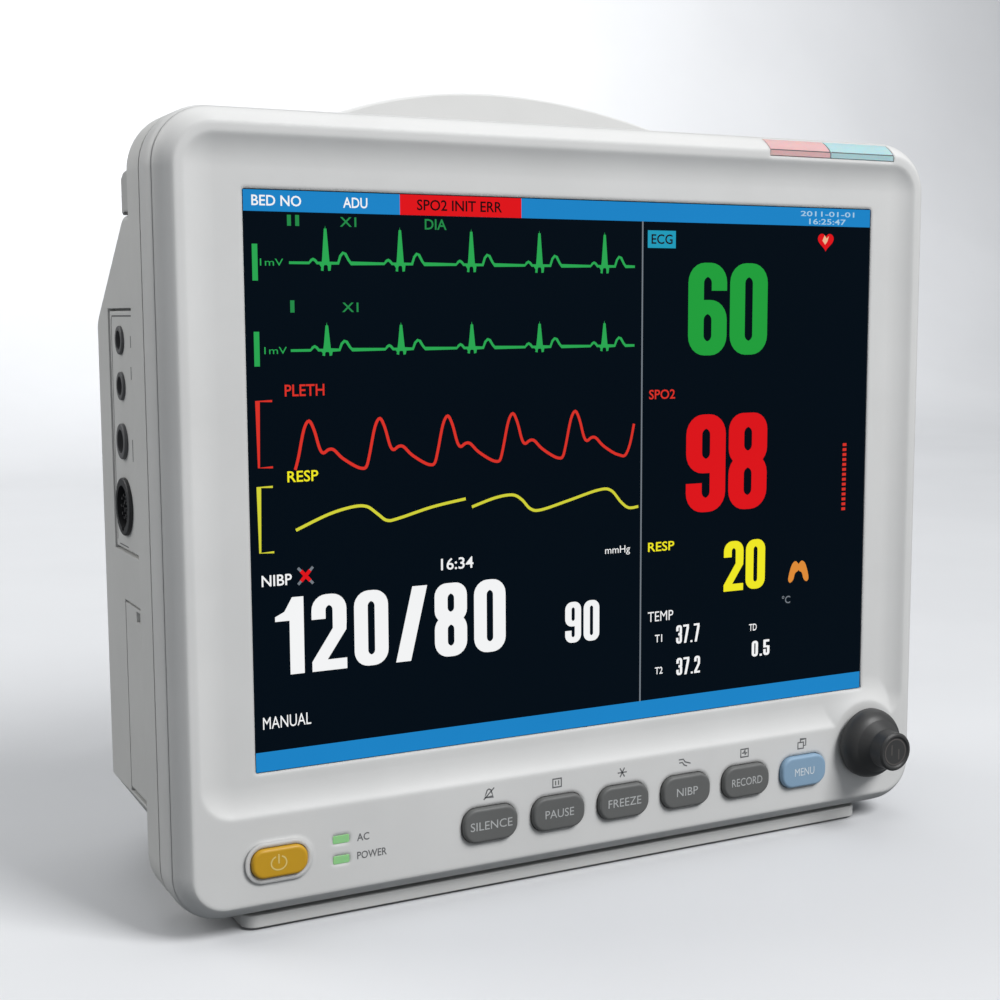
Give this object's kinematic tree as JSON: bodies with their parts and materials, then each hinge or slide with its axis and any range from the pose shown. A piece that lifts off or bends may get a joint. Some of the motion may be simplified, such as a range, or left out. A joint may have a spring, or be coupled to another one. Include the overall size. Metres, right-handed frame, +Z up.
{
  "type": "bedside patient monitor",
  "caption": "Bedside vital-signs monitor with a large display, a row of keys, a push-and-turn knob, side sockets, a carrying handle and a flat base plate.",
  "frame": {"origin": "on the table plane under the middle of the case, 60 mm behind the screen face", "axes": "+X to the reader's right, +Y from the screen to the back, +Z up"},
  "size_m": [0.302, 0.141, 0.2836],
  "materials": {
    "case_light": "fine satin texture",
    "panel_grey": "fine satin texture",
    "panel_grey_dark": "satin",
    "lens_red": "translucent tinted, satin",
    "lens_cyan": "translucent tinted, satin",
    "lens_green": "translucent tinted",
    "circuit_board": "green solder mask",
    "display_glass": "dark smooth window",
    "display_module": "plain",
    "rubber_black": "matt",
    "sheet_steel": "zinc plated",
    "key_grey": "silicone satin",
    "key_blue": "silicone satin",
    "key_amber": "silicone satin",
    "knob_grey": "soft-touch satin",
    "dark_plastic": "plain",
    "aluminium": "satin",
    "plated_brass": "nickel plated",
    "screw_steel": "bright",
    "battery_blue": "shrink sleeve",
    "paper": "thermal paper",
    "tube_clear": "silicone"
  },
  "bodies": {
    "case": {"alarm_led_board": "circuit_board", "alarm_lens_cyan": "lens_cyan", "alarm_lens_red": "lens_red", "base_plate": "case_light", "base_screws": "screw_steel", "battery_bay": "dark_plastic", "battery_door_pin": "screw_steel", "battery_pack": "battery_blue", "carry_handle": "case_light", "case_screws": "screw_steel", "chassis": "sheet_steel", "connector_panel": "panel_grey", "cuff_port": "aluminium", "display_cable": "dark_plastic", "display_window": "display_glass", "encoder_body": "dark_plastic", "encoder_nut": "plated_brass", "front_bezel": "case_light", "fuse_holders": "dark_plastic", "ground_terminal": "plated_brass", "handle_screws": "screw_steel", "indicator_lenses": "lens_green", "internal_screws": "screw_steel", "key_board": "circuit_board", "lcd_bracket": "sheet_steel", "lcd_panel": "display_module", "main_board": "circuit_board", "mains_inlet": "dark_plastic", "network_port": "aluminium", "nibp_pump": "aluminium", "parameter_board": "circuit_board", "patient_socket": "dark_plastic", "power_supply": "circuit_board", "print_head": "aluminium", "pump_clamps": "sheet_steel", "pump_tube": "tube_clear", "rear_housing": "case_light", "rear_panel": "aluminium", "recorder_frame": "panel_grey", "rubber_feet": "rubber_black", "speaker": "dark_plastic", "supply_standoffs": "screw_steel", "temp_sockets": "panel_grey_dark", "valve_manifold": "dark_plastic", "video_port": "aluminium", "window_gasket": "rubber_black"},
    "key_silence": {"key_silence": "key_grey"},
    "key_pause": {"key_pause": "key_grey"},
    "key_freeze": {"key_freeze": "key_grey"},
    "key_nibp": {"key_nibp": "key_grey"},
    "key_record": {"key_record": "key_grey"},
    "key_menu": {"key_menu": "key_blue"},
    "power_key": {"power_key": "key_amber"},
    "encoder_plunger": {"encoder_plunger": "dark_plastic"},
    "knob": {"knob": "knob_grey", "encoder_shaft": "aluminium"},
    "battery_door": {"battery_door": "panel_grey"},
    "recorder_door": {"recorder_door": "case_light"},
    "platen_roller": {"platen_roller": "rubber_black"},
    "paper_roll": {"paper_roll": "paper"}
  },
  "joints": [
    {"name": "key_silence_press", "type": "slide", "parent": "case", "child": "key_silence", "axis": [0, 1, 0], "range_m": [0, 0.001], "stiffness_N_per_m": 900, "springref_m": -0.0005},
    {"name": "key_pause_press", "type": "slide", "parent": "case", "child": "key_pause", "axis": [0, 1, 0], "range_m": [0, 0.001], "stiffness_N_per_m": 900, "springref_m": -0.0005},
    {"name": "key_freeze_press", "type": "slide", "parent": "case", "child": "key_freeze", "axis": [0, 1, 0], "range_m": [0, 0.001], "stiffness_N_per_m": 900, "springref_m": -0.0005},
    {"name": "key_nibp_press", "type": "slide", "parent": "case", "child": "key_nibp", "axis": [0, 1, 0], "range_m": [0, 0.001], "stiffness_N_per_m": 900, "springref_m": -0.0005},
    {"name": "key_record_press", "type": "slide", "parent": "case", "child": "key_record", "axis": [0, 1, 0], "range_m": [0, 0.001], "stiffness_N_per_m": 900, "springref_m": -0.0005},
    {"name": "key_menu_press", "type": "slide", "parent": "case", "child": "key_menu", "axis": [0, 1, 0], "range_m": [0, 0.001], "stiffness_N_per_m": 900, "springref_m": -0.0005},
    {"name": "power_key_press", "type": "slide", "parent": "case", "child": "power_key", "axis": [0, 1, 0], "range_m": [0, 0.001], "stiffness_N_per_m": 900, "springref_m": -0.0005},
    {"name": "knob_press", "type": "slide", "parent": "case", "child": "encoder_plunger", "axis": [0, 1, 0], "range_m": [0, 0.0008], "stiffness_N_per_m": 1500, "springref_m": -0.0004},
    {"name": "knob_turn", "type": "hinge", "parent": "encoder_plunger", "child": "knob", "pos_m": [0.1239, -0.07, 0.0333], "axis": [0, 1, 0], "continuous": true},
    {"name": "battery_door_hinge", "type": "hinge", "parent": "case", "child": "battery_door", "pos_m": [-0.1486, -0.01575, 0.0394], "axis": [0, -1, 0], "range_deg": [0, 90]},
    {"name": "recorder_door_hinge", "type": "hinge", "parent": "case", "child": "recorder_door", "pos_m": [0.1499, 0.0175, 0.145], "axis": [0, 0, 1], "range_deg": [0, 90]},
    {"name": "platen_turn", "type": "hinge", "parent": "recorder_door", "child": "platen_roller", "pos_m": [0.143, -0.014, 0.145], "axis": [0, 0, 1], "continuous": true},
    {"name": "paper_roll_turn", "type": "hinge", "parent": "case", "child": "paper_roll", "pos_m": [0.1255, -0.001, 0.145], "axis": [0, 0, 1], "continuous": true}
  ]
}
